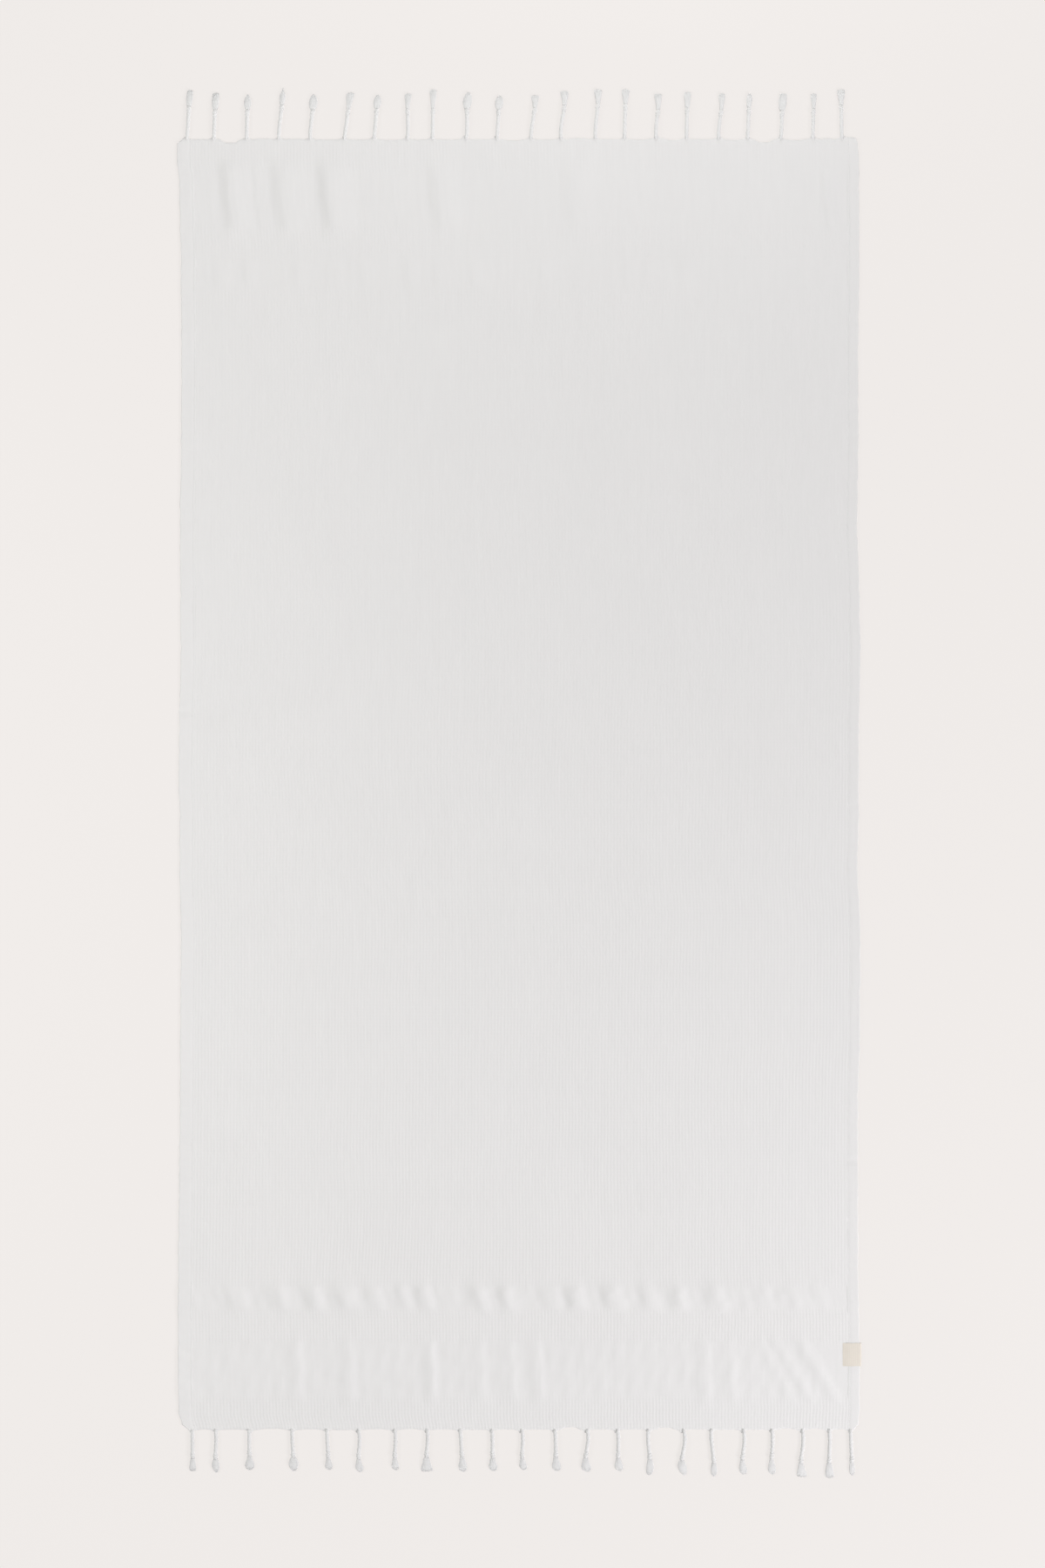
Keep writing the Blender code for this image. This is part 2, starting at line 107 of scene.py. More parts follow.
SAG = 0.5                  # highest of the body's slow waves
WANDER = 1.1               # how far the ribs wander sideways

# Rows of the cloth's mesh: from each end inwards, then (from, to, count) over banded ends and body.
END_INSETS = (0.0, 0.6, 1.7, 4.0, 7.5, 11.5, 16.0, 21.0, 27.0)
BAND_ROWS = ((645, 696, 10), (696, 734, 5), (736, 815, 12),
             (-662, -700, 8), (-702, -737, 5), (-739, -817, 12))
BODY_ROWS = (-652, 622, 25)
CREASE_CLEAR = 14          # a crease's own rows stand alone over this length at either side

# ---- puckers of the plain bands ----
BAND_FADE = 10.0           # a pucker is whole from this far inside its band
PUCKER_BEND = 1.3          # and its line bends this much
STREAK = 0.07              # fine gathers in the plain bands
CRINKLE = 0.80             # mean height of the small lumps in those of the near end
# x: its middle on the band's middle line. half: half its width. lean: how far it moves to +X for each
# mm to -Y, here for a band or for one pucker.
Pucker = namedtuple("Pucker", "x height half lean", defaults=(None,))
# rise: how much of these heights the band's puckers have. skew: how far a crest stands to -X of the
# middle, as a share of half. reach: how far the puckers run out of the band.
Band = namedtuple("Band", "near far lean rise skew reach puckers")
BANDS = (
    Band(738, 813, 0.10, 1.5, 0.35, 20, (
        Pucker(-371, 2.3, 27), Pucker(-341, 0.5, 12), Pucker(-301, 1.9, 30), Pucker(-240, 2.6, 29),
        Pucker(-95, 1.6, 28), Pucker(85, 1.2, 33), Pucker(414, 1.4, 14),
    )),
    Band(657, 692, 0.15, 0.5, 0.20, 12, (
        Pucker(-393, 1.6, 16), Pucker(-355, 1.5, 14), Pucker(-291, 1.5, 15), Pucker(-245, 1.6, 19),
        Pucker(-201, 1.5, 15), Pucker(-141, 1.8, 15), Pucker(-101, 1.8, 16), Pucker(-54, 1.6, 14),
        Pucker(35, 1.6, 14), Pucker(148, 1.4, 14), Pucker(174, 1.3, 14), Pucker(223, 1.3, 14),
        Pucker(402, 1.4, 14),
    )),
    Band(-696, -664, 0.36, 1.0, -0.05, 8, (
        Pucker(-374, 2.6, 22), Pucker(-317, 3.6, 22), Pucker(-272, 3.6, 18), Pucker(-231, 3.6, 22),
        Pucker(-190, 2.8, 16), Pucker(-152, 2.2, 14), Pucker(-123, 3.6, 15), Pucker(-52, 3.6, 17),
        Pucker(-16, 3.6, 17), Pucker(41, 2.2, 19), Pucker(74, 3.6, 18), Pucker(123, 3.6, 21),
        Pucker(171, 2.8, 16), Pucker(211, 3.4, 19), Pucker(261, 3.2, 20), Pucker(322, 0.9, 16),
        Pucker(363, 0.9, 16), Pucker(400, 1.1, 15),
    )),
    Band(-815, -739, 0.05, 0.7, -0.30, 12, (
        Pucker(-299, 2.2, 18), Pucker(-227, 2.0, 16), Pucker(-118, 2.6, 15), Pucker(-55, 1.6, 18),
        Pucker(-14, 2.0, 16), Pucker(23, 2.2, 15), Pucker(246, 1.8, 15), Pucker(278, 1.8, 15),
        Pucker(338, 1.8, 13, 0.55), Pucker(362, 2.0, 12, 0.60), Pucker(394, 3.2, 15, 0.64),
    )),
)

# ---- creases: grooves along a line of (x, y, depth) ----
# in_cloth: rows of the cloth's mesh follow it. Otherwise it is in the hem alone.
Crease = namedtuple("Crease", "half in_cloth line")
CREASES = (
    Crease(9.0, True, ((-452, -476, 1.8), (-378, -488.0, 1.4), (-356, -490.0, 0.0), (372, -480.0, 0.0),
                       (390, -480.0, 1.0), (421, -497.0, 1.4), (450, -500.0, 1.2))),
    Crease(7.0, True, ((-452, -526, 1.2), (-398, -531.0, 1.0), (-380, -531.0, 0.0),
                       (450, -531.0, 0.0))),
    Crease(7.0, True, ((-452, 94, 1.1), (-398, 94, 0.8), (-380, 94, 0.0), (450, 94, 0.0))),
    Crease(4.5, True, ((-270, 22, 0.0), (-240, 22, 0.2), (-75, 22, 0.2), (-50, 22, 0.08),
                       (150, 22, 0.08), (178, 22, 0.2), (270, 22, 0.2), (300, 22, 0.0))),
    Crease(4.0, False, ((-452, -586, 0.5), (-434, -586, 0.4))),
    Crease(4.0, False, ((-452, 441, 0.4), (-434, 441, 0.3))),
    Crease(4.0, False, ((436, -468, 0.4), (450, -425, 0.6))),
    Crease(4.0, False, ((436, -577, 0.4), (450, -577, 0.5))),
    Crease(4.0, False, ((436, -28, 0.4), (450, -28, 0.5))),
    Crease(4.0, False, ((436, 346, 0.4), (450, 346, 0.4))),
    Crease(4.0, False, ((436, 461, 0.4), (450, 461, 0.4))),
    Crease(4.0, False, ((436, 611, 0.4), (450, 611, 0.5))),
)

# ---- tassels ----
# root, tip: the tassel's X at either end. reach: tip to the cloth's straight end. bow: sideways S-bend.
# tuft, flare: the tuft's length and width. scoop: how far the cloth's end draws in after this tassel.
# gather: how wide its warp yarns gather at the cloth's end, 1 for most.
Tassel = namedtuple("Tassel", "root tip reach bow tuft flare scoop style gather", defaults=(1.0,))
FAR_TASSELS = (
    Tassel(-439.5, -435.0, 72.0, 0.0, 24, 9.5, 0.0, "block"),
    Tassel(-404.0, -401.0, 68.5, 0.0, 25, 10.0, 4.6, "block"),
    Tassel(-360.5, -358.5, 66.0, 0.0, 22, 10.0, -1.0, "egg"),
    Tassel(-318.0, -312.0, 75.5, -0.5, 26, 9.0, -0.5, "point"),
    Tassel(-276.5, -271.5, 66.0, -0.5, 22, 12.0, 0.5, "egg"),
    Tassel(-231.5, -222.5, 68.5, 0.0, 24, 11.0, 0.5, "flare"),
    Tassel(-192.0, -186.0, 66.0, 0.0, 21, 11.0, 1.0, "egg"),
    Tassel(-147.5, -146.0, 67.5, 0.5, 23, 9.5, 0.5, "flare"),
    Tassel(-114.0, -113.0, 73.0, 0.0, 28, 9.5, 0.5, "flare"),
    Tassel(-70.5, -66.0, 69.5, 1.0, 25, 12.5, 0.0, "egg"),
    Tassel(-29.0, -25.0, 65.0, 0.0, 21, 11.5, 1.7, "egg"),
    Tassel(16.5, 22.0, 65.0, -1.0, 19, 10.5, 0.5, "flare"),
    Tassel(56.5, 60.5, 71.0, -1.5, 22, 11.0, -1.5, "flare"),
    Tassel(102.0, 105.0, 73.0, -1.0, 22, 11.0, 0.0, "flare"),
    Tassel(140.0, 142.0, 73.0, 0.0, 22, 11.0, 0.5, "flare"),
    Tassel(182.5, 184.5, 67.5, -1.0, 24, 10.5, 1.0, "flare", 2.1),
    Tassel(222.0, 224.0, 69.5, 0.0, 23, 10.0, 0.0, "brush"),
    Tassel(265.0, 269.0, 67.5, -1.0, 24, 9.5, 0.8, "flare", 1.5),
    Tassel(303.0, 306.0, 67.5, 0.0, 21, 8.0, 4.0, "slim"),
    Tassel(346.5, 351.0, 67.5, 0.5, 25, 11.5, 1.2, "block"),
    Tassel(389.5, 391.0, 67.5, 0.0, 23, 8.5, -1.2, "flare", 1.6),
    Tassel(428.0, 427.0, 73.0, 0.0, 24, 11.0, -1.2, "flare", 1.5),
)
NEAR_TASSELS = (
    Tassel(-432.0, -431.5, 62.0, 0.0, 19, 9.5, 0.5, "brush"),
    Tassel(-402.0, -400.0, 64.0, 1.0, 20, 10.5, 0.5, "egg"),
    Tassel(-357.0, -356.0, 60.5, 0.0, 20, 13.0, 1.5, "drop"),
    Tassel(-300.5, -297.5, 62.0, 0.0, 20, 13.5, 0.8, "egg"),
    Tassel(-254.5, -251.0, 60.5, 0.0, 18, 10.5, -0.5, "drop"),
    Tassel(-213.0, -209.5, 63.0, 1.5, 19, 11.0, 0.8, "drop"),
    Tassel(-164.5, -162.5, 60.5, 1.0, 18, 10.5, 1.2, "drop"),
    Tassel(-121.5, -121.0, 63.0, 1.0, 21, 16.0, 0.5, "flare"),
    Tassel(-77.5, -73.5, 63.0, 0.0, 22, 12.0, 0.0, "drop"),
    Tassel(-36.0, -33.0, 62.0, 0.5, 20, 12.0, 0.5, "drop"),
    Tassel(3.0, 7.5, 60.5, 1.5, 18, 10.5, 0.5, "drop"),
    Tassel(47.5, 51.0, 62.0, 0.5, 21, 12.5, 3.5, "drop"),
    Tassel(90.0, 91.0, 63.0, 2.0, 21, 13.5, 0.5, "drop"),
    Tassel(130.0, 134.0, 62.0, 1.0, 20, 12.0, 0.5, "drop"),
    Tassel(172.5, 173.0, 67.5, -1.2, 23, 10.5, 2.9, "slim"),
    Tassel(216.5, 220.0, 67.5, 3.0, 22, 12.5, 0.5, "egg"),
    Tassel(255.5, 258.5, 69.0, -1.0, 20, 9.0, 0.0, "slim"),
    Tassel(296.5, 299.0, 66.5, 2.0, 22, 11.0, 0.0, "drop"),
    Tassel(335.0, 336.5, 66.5, 1.0, 23, 11.0, 1.5, "drop"),
    Tassel(375.0, 376.0, 70.0, 1.8, 21, 13.5, 1.5, "flare"),
    Tassel(411.0, 412.5, 71.0, 0.8, 22, 12.0, 0.8, "brush"),
    Tassel(439.5, 442.0, 67.5, 0.0, 19, 8.0, 0.5, "slim"),
)

# edge and peak: how far the cloth's end stands out between the tassels and at their roots. corners are
# its (X, distance) points outside the first and last tassel.
Fringe = namedtuple("Fringe", "name node tassels line side edge peak left_corner right_corner")
FAR = Fringe("tassels_far", "fringe_far", FAR_TASSELS, END_FAR, 1, 6.2, 11.0,
             ((-453.0, 0.6), (-447.5, 5.0)), ((434.5, 9.0), (447.0, 8.8), (450.0, 0.6)))
NEAR = Fringe("tassels_near", "fringe_near", NEAR_TASSELS, END_NEAR, -1, 7.0, 11.0,
              ((-445.5, 0.6), (-437.5, 6.0)), ((445.5, 5.5), (449.0, 0.6)))
# The end rises to a tassel along these points: (distance from its middle, share of the whole rise,
# how much of the tassel's gather widens it there).
SHOULDER = ((7.5, 0.0, 1.0), (3.4, 0.26, 0.6), (1.7, 1.0, 0.0))
SCOOP = (0.36, 0.64)       # it is drawn in between these shares of the way to the next tassel

CORD_PLY = 2.25            # radius of each of a cord's two plies
CORD_OFFSET = 0.50         # a ply's middle to the cord's
CORD_CORE = 2.46           # radius of what fills the hollows between them
CORD_LAY = 10.9            # one whole turn
CORD_START = 5.0           # it starts this far inside the tip of the cloth's end
CORD_UNEVEN = 0.05         # how much its thickness varies
KNOT_LENGTH = 7.0
KNOT_RADIUS = 2.15         # of the two loops of a knot
KNOT_ROPE = 1.35
KNOT_FLAT = 0.82           # their height for their width
KNOT_LOOPS = ((-1.4, 1.0, 0.94), (1.5, 0.6, 1.06))     # (place along the tassel, share of tilt, size)
KNOT_CORE = (1.6, 2.3, 2.8, 3.0, 2.8, 2.5, 2.0)        # radii of what fills them
KNOT_CORE_SPAN = (-4.0, 5.0)
KNOT_CORE_HEIGHT = 3.1
STRANDS = 64               # yarn ends of a tuft that show
STRAND_RADIUS = 0.42
STRAND_RAGGED = 0.10       # how much shorter a strand may be
STRAND_DRIFT = 0.07        # how far it drifts round the tuft
STRAND_WAVE = 0.025
STRAND_LAYER = 0.05        # how far strands lie under each other
LUMP = 0.93                # size of the rest of the tuft inside them
LUMP_END = 0.88            # share of the tuft's length that it fills
LUMP_TAPER = (1.0, 1.0, 1.0, 1.0, 1.0, 0.97, 0.93, 0.84, 0.6)
TUFT_HEIGHT = 5.0
TUFT_NECK = 2.3            # half its width where it leaves the knot

# A tuft's outline: neck is its width a fifth of its length along and tip at its end, as shares of its
# widest place, which is widest_at of its length along. uneven: how much shorter its outer strands are.
Style = namedtuple("Style", "neck widest_at tip uneven")
STYLES = {
    "egg": Style(0.80, 0.46, 0.62, 0.20),
    "drop": Style(0.62, 0.66, 0.70, 0.13),
    "block": Style(0.86, 0.50, 0.86, 0.07),
    "brush": Style(0.72, 0.72, 0.92, 0.08),
    "slim": Style(0.80, 0.54, 0.72, 0.14),
    "point": Style(0.78, 0.42, 0.26, 0.30),
    "flare": Style(0.60, 0.86, 0.96, 0.07),
}

# ---- hems and their stitching ----
HEM_TOP = 2.65
FOLD_LEFT = 1.0            # width of the rounded fold along the outer edge
FOLD_RIGHT = 0.8
HEM_ROUND = 1.2            # the hem's end rounds off over this length
HEM_STEP = 3.0             # rows of the hem's mesh
SEAM = 1.7                 # stitch line to the hem's inner edge
SEAM_DROP = 0.26           # the hem's top falls this much towards it
GROOVE = 0.22              # the stitches draw the hem in this much
STITCH = 3.1               # one stitch
STITCH_THREAD = 0.20       # radius

# ---- label ----
LABEL_Y = -756.0
LABEL_LENGTH = 30.6        # along the hem
LABEL_INNER = 429.2        # X of its two cut ends
LABEL_FOLD = 452.0         # X where the fold begins
LABEL_TAPE = 0.45
LABEL_UNDER = 0.15         # the lower leg above the floor
LABEL_GAP = 0.12           # the upper leg above the hem
LABEL_SLOPE = 2.2          # the upper leg comes down to the cloth over 1 / 2.2 of its width
LABEL_CUT = 0.12           # middle of its thin cut end above the cloth
LABEL_LIFT = 0.8           # the hem rises this much over the tape's lower leg
LABEL_FADE = 11.0          # the cloth settles back over this length beside the label
LABEL_RAMP_START = 388.0   # and over this stretch of X inwards of it
LABEL_RAMP_END = 404.0

# ---- picture ----
PHOTO_MIDDLE = (5.2, -0.6)     # what the camera looks straight down on
PHOTO_HEIGHT = 2076.9          # length of floor that the picture shows from top to bottom
LENS = 100.0
SENSOR = 36.0
ROOM_ABOVE = 0.205             # strength of the room's light from straight above
ROOM_SIDES = 0.3               # and how much it gains towards the horizon

# Soft lights, placed in the frame's metres. The right one brings out the puckers of the near end, and
# the low one beyond the far end lights the puckers and tassels there.
Lamp = namedtuple("Lamp", "name place watts radius colour")
LAMPS = (
    Lamp("window_left", (-1.96, 0.01, 1.70), 107.5, 0.55, (1.0, 1.0, 0.98)),
    Lamp("window_right", (2.81, -1.97, 2.51), 455.0, 0.75, (1.0, 0.985, 1.01)),
    Lamp("window_far", (0.23, 1.85, 0.53), 28.0, 0.35, (1.0, 1.0, 1.0)),
)

# The floor glows a little, which keeps it pale and even.
FLOOR_REACH = 20.0             # metres from its middle to each side
FLOOR_DROP = 0.0001            # metres, so that it doesn't coincide with the towel's underside
FLOOR_COLOUR = (0.15, 0.144, 0.141, 1.0)
FLOOR_GLOW = (0.871, 0.838, 0.815, 1.0)
FLOOR_GLOW_STRENGTH = 0.836

# ---- surfaces ----
CRISP_ANGLE = 55               # degrees: an edge sharper than this isn't shaded smooth
WEAVE_COLOUR = (0.83, 0.822, 0.812)
# The stitching thread is painted darker than the cloth, a painted shade of the seam's groove.
SEAM_SHADE_THREAD_COLOUR = (0.72, 0.715, 0.705)
# One cotton yarn in two copies: painted darker for the near tassels, a painted shade, and paler for the
# far ones, a painted light.
PAINTED_SHADE_YARN_COLOUR = (0.785, 0.783, 0.775)
PAINTED_LIGHT_YARN_COLOUR = (0.835, 0.833, 0.824)
LABEL_COLOUR = (0.82, 0.765, 0.68)

CLOTH_CREASES = [crease for crease in CREASES if crease.in_cloth]

cad_low, cad_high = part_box("cloth")
SHIFT = np.array([cad_low.x / MM + 454.0, cad_high.y / MM - END_FAR, 0.0])
random = np.random.default_rng(8)


def place(points):
    """Plan millimetres to the frame's metres."""
    return (np.asarray(points, float) + SHIFT) * MM


def ease(t):
    """Rise smoothly from 0 to 1 as t does, and hold outside that."""
    t = np.clip(t, 0.0, 1.0)
    return t * t * (3.0 - 2.0 * t)


def eased(at, stations, values):
    """A value at each point, eased between stations in rising order and held outside them."""
    stations = np.asarray(stations, float)
    values = np.asarray(values, float)
    at = np.clip(at, stations[0], stations[-1])
    i = np.clip(np.searchsorted(stations, at, side="right") - 1, 0, len(stations) - 2)
    t = ease((at - stations[i]) / (stations[i + 1] - stations[i]))
    return values[i] + (values[i + 1] - values[i]) * t


def ripple(at, shortest, longest, seed, count=9):
    """Smooth noise of about -1 to 1 along a line, of waves between two lengths."""
    draw = np.random.default_rng(seed)
    total = 0.0
    for length in np.geomspace(shortest, longest, count):
        total = total + np.sin(TURN * (at / length + draw.random()))
    return total / math.sqrt(count)


def swell(x, y, shortest, longest, seed, count=8):
    """Smooth noise of about -1 to 1 over the plan."""
    draw = np.random.default_rng(seed)
    total = 0.0
    for length in np.geomspace(shortest, longest, count):
        heading = draw.random() * TURN
        along = x * math.cos(heading) + y * math.sin(heading)
        total = total + np.sin(TURN * (along / length + draw.random()))
    return total / math.sqrt(count)


def edge_at(y):
    """Distances of the left and the right edge from the centre line at y."""
    stations = [edge.y for edge in EDGES]
    left = eased(y, stations, [edge.left for edge in EDGES])
    right = eased(y, stations, [edge.right for edge in EDGES])
    return left + EDGE_WAVE * ripple(y, 14, 90, 21), right + EDGE_WAVE * ripple(y, 14, 90, 22)


def end_stations(fringe):
    """X and distance from the straight end, along the cloth's end from left to right."""
    stations = list(fringe.left_corner)
    last = len(fringe.tassels) - 1
    for i, tassel in enumerate(fringe.tassels):
        rise = fringe.peak - fringe.edge
        flank = []
        for off, share, gathered in SHOULDER:
            wider = 1 - gathered + gathered * tassel.gather
            flank.append((off * wider, fringe.edge + share * rise))
        if i == 0:
            flank_left, flank_right = flank[2:], flank
        elif i == last:
            flank_left, flank_right = flank, flank[2:]
        else:
            flank_left = flank_right = flank
        stations += [(tassel.root - off, stands_out) for off, stands_out in flank_left]
        stations += [(tassel.root + off, stands_out) for off, stands_out in reversed(flank_right)]
        if i < last:
            gap = fringe.tassels[i + 1].root - tassel.root
            for part in SCOOP:
                stations.append((tassel.root + part * gap, fringe.edge - tassel.scoop))
    return stations + list(fringe.right_corner)


def drawn_out(x, y):
    """Y with both ends of the cloth drawn out to the tassels' roots."""
    for fringe in (FAR, NEAR):
        stations = end_stations(fringe)
        stands_out = eased(x, [s[0] for s in stations], [s[1] for s in stations])
        share = ease(1.0 - (fringe.line - y) * fringe.side / DRAWN)
        y = y + fringe.side * share * stands_out
    return y


def plain_share(y):
    """1 in the plain bands, 0 in the waffle."""
    share = 0.0
    for band in BANDS:
        half = (band.far - band.near) / 2
        middle = (band.far + band.near) / 2
        share = share + ease((half - abs(y - middle)) / BAND_TURN + 0.5)
    return share


def relief_at(y):
    """The waffle's relief as a share of the deepest: none in the plain bands, less in the far half."""
    start, length = RELIEF_FADE
    return (1 - plain_share(y)) * (1 - (1 - RELIEF_FAR) * ease((y - start) / length))


def rise_at(x, y):
    """Height of the cloth's underside: its puckers, slow waves and the lift over the label."""
    rise = SAG * (0.5 + 0.25 * swell(x, y, 160, 520, 31))
    by_label = ease((x - LABEL_RAMP_START) / (LABEL_RAMP_END - LABEL_RAMP_START))
    for number, band in enumerate(BANDS):
        middle = (band.near + band.far) / 2
        half_band = (band.far - band.near) / 2
        share = ease((half_band + band.reach - abs(y - middle)) / (band.reach + BAND_FADE))
        bent = x + PUCKER_BEND * ripple(y, 18, 70, 40 + number, 4)
        for pucker in band.puckers:
            lean = band.lean if pucker.lean is None else pucker.lean
            off = (bent - lean * (middle - y) - pucker.x) / pucker.half + band.skew
            off = np.clip(abs(off) / (1 + np.sign(off) * band.skew), 0.0, 1.0)
            rise = rise + share * band.rise * pucker.height * (1 + np.cos(math.pi * off)) / 2
        gathers = ripple(bent - band.lean * (middle - y), 7, 30, 50 + number)
        rise = rise + share * STREAK * (1 + gathers / 2)
        if band.far < 0:
            lumps = 1 + swell(x, y, 13, 46, 58 + number) / 2
            rise = rise + share * (1 - by_label) * CRINKLE * lumps
    along = ease((LABEL_LENGTH / 2 + 1.5 + LABEL_FADE - abs(y - LABEL_Y)) / LABEL_FADE)
    return rise + LABEL_LIFT * along * by_label


def crease_line(crease, x):
    """Y and depth of a crease at x."""
    across, along, depth = np.array(crease.line, float).T
    return np.interp(x, across, along), np.interp(x, across, depth)


def crease_at(x, y, creases):
    """How deep the creases press the upper surface in."""
    total = 0.0
    for crease in creases:
        along, depth = crease_line(crease, x)
        off = np.clip(abs(y - along) / crease.half, 0.0, 1.0)
        total = total + depth * (1 + np.cos(math.pi * off)) / 2
    return total


class Pile:
    """Points, faces and the faces' corner UVs, gathered for one mesh."""

    def __init__(self):
        self.points = []
        self.faces = []
        self.uvs = []
        self.count = 0

    def add(self, points, faces, uvs):
        self.points.append(points.reshape(-1, 3))
        self.faces.extend((faces + self.count).tolist())
        self.uvs.append(uvs.reshape(-1, 2))
        self.count += len(self.points[-1])


def make_piece(name, pile, material, uv_name="weave", point_values=None, crisp=False):
    """One mesh of a pile of plan points, smooth, with its normals outwards."""
    mesh = bpy.data.meshes.new(name)
    mesh.from_pydata(place(np.concatenate(pile.points)).tolist(), [], pile.faces)
    uv_layer = mesh.uv_layers.new(name=uv_name)
    uv_layer.data.foreach_set("uv", np.concatenate(pile.uvs).ravel())
    for label, values in (point_values or {}).items():
        layer = mesh.attributes.new(label, "FLOAT", "POINT")
        layer.data.foreach_set("value", np.asarray(values, float).ravel())
    bm = bmesh.new()
    bm.from_mesh(mesh)
    bmesh.ops.recalc_face_normals(bm, faces=bm.faces)
    bm.to_mesh(mesh)
    bm.free()
    mesh.shade_smooth()
    if crisp:
        mesh.set_sharp_from_angle(angle=math.radians(CRISP_ANGLE))
    mesh.materials.append(material)
    piece = bpy.data.objects.new(name, mesh)
    bpy.context.scene.collection.objects.link(piece)
    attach(piece, "root")
    return piece


def grid_faces(index):
    """Quads between the neighbours of a table of vertex numbers."""
    corners = (index[:-1, :-1], index[:-1, 1:], index[1:, 1:], index[1:, :-1])
    return np.stack(corners, -1).reshape(-1, 4)


def tubes(paths, radii, sides, reference=(0.0, 0.0, 1.0), closed=False):
    """Tubes along paths (tube, point, xyz). UVs are turns round the tube and millimetres along it."""
    count, length = paths.shape[:2]
    if closed:
        ahead = np.roll(paths, -1, 1) - np.roll(paths, 1, 1)
    else:
        ahead = np.gradient(paths, axis=1)
    ahead = ahead / np.linalg.norm(ahead, axis=2, keepdims=True)
    across = np.cross(ahead, np.asarray(reference, float))
    across = across / np.linalg.norm(across, axis=2, keepdims=True)
    up = np.cross(across, ahead)
    turn = TURN * np.arange(sides) / sides
    radii = np.broadcast_to(radii, (count, length))[..., None, None]
    ring = np.cos(turn)[:, None] * across[:, :, None] + np.sin(turn)[:, None] * up[:, :, None]
    points = paths[:, :, None] + radii * ring

    index = np.arange(count * length * sides).reshape(count, length, sides)
    index = np.concatenate([index, index[:, :, :1]], 2)
    if closed:
        index = np.concatenate([index, index[:, :1]], 1)
    corners = (index[:, :-1, :-1], index[:, :-1, 1:], index[:, 1:, 1:], index[:, 1:, :-1])
    faces = np.stack(corners, -1).reshape(-1, 4)
    steps = np.linalg.norm(np.diff(paths, axis=1), axis=2)
    along = np.concatenate([np.zeros((count, 1)), np.cumsum(steps, 1)], 1)
    if closed:
        along = np.concatenate([along, along[:, -1:] + steps[:, :1]], 1)
    around = np.arange(sides + 1) / sides
    grid = np.stack(np.broadcast_arrays(around[None, None], along[:, :, None]), -1)
    corner_uvs = (grid[:, :-1, :-1], grid[:, :-1, 1:], grid[:, 1:, 1:], grid[:, 1:, :-1])
    uvs = np.stack(corner_uvs, -2).reshape(-1, 4, 2)
    if not closed:
        caps = [(i, i + 1, sides - 2 - i, sides - 1 - i) for i in range(sides // 2 - 1)]
        for end in (0, length - 1):
            ends = np.stack([index[:, end, list(cap)] for cap in caps], 1).reshape(-1, 4)
            faces = np.concatenate([faces, ends])
            uvs = np.concatenate([uvs, np.zeros((len(ends), 4, 2))])
    return points, faces, uvs


# ---- cloth ----
def cloth_rows():
    """Y of each row of the cloth's mesh as (plain Y, crease that it follows, offset from that)."""
    rows = []
    for fringe in (FAR, NEAR):
        for inset in END_INSETS:
            rows.append((fringe.line - fringe.side * inset, None, 0.0))
    for start, stop, count in BAND_ROWS:
        rows += [(y, None, 0.0) for y in np.linspace(start, stop, count)]
    kept_clear = []
    for crease in CLOTH_CREASES:
        across, along, _ = zip(*crease.line)
        kept_clear.append((min(along) - CREASE_CLEAR, max(along) + CREASE_CLEAR))
        middle = np.interp(0.0, across, along)
        rows += [(middle + part * crease.half, crease, part * crease.half) for part in (-1, 0, 1)]
    for y in np.linspace(*BODY_ROWS):
        if all(not low < y < high for low, high in kept_clear):
            rows.append((y, None, 0.0))
    return sorted(rows, key=lambda row: row[0])


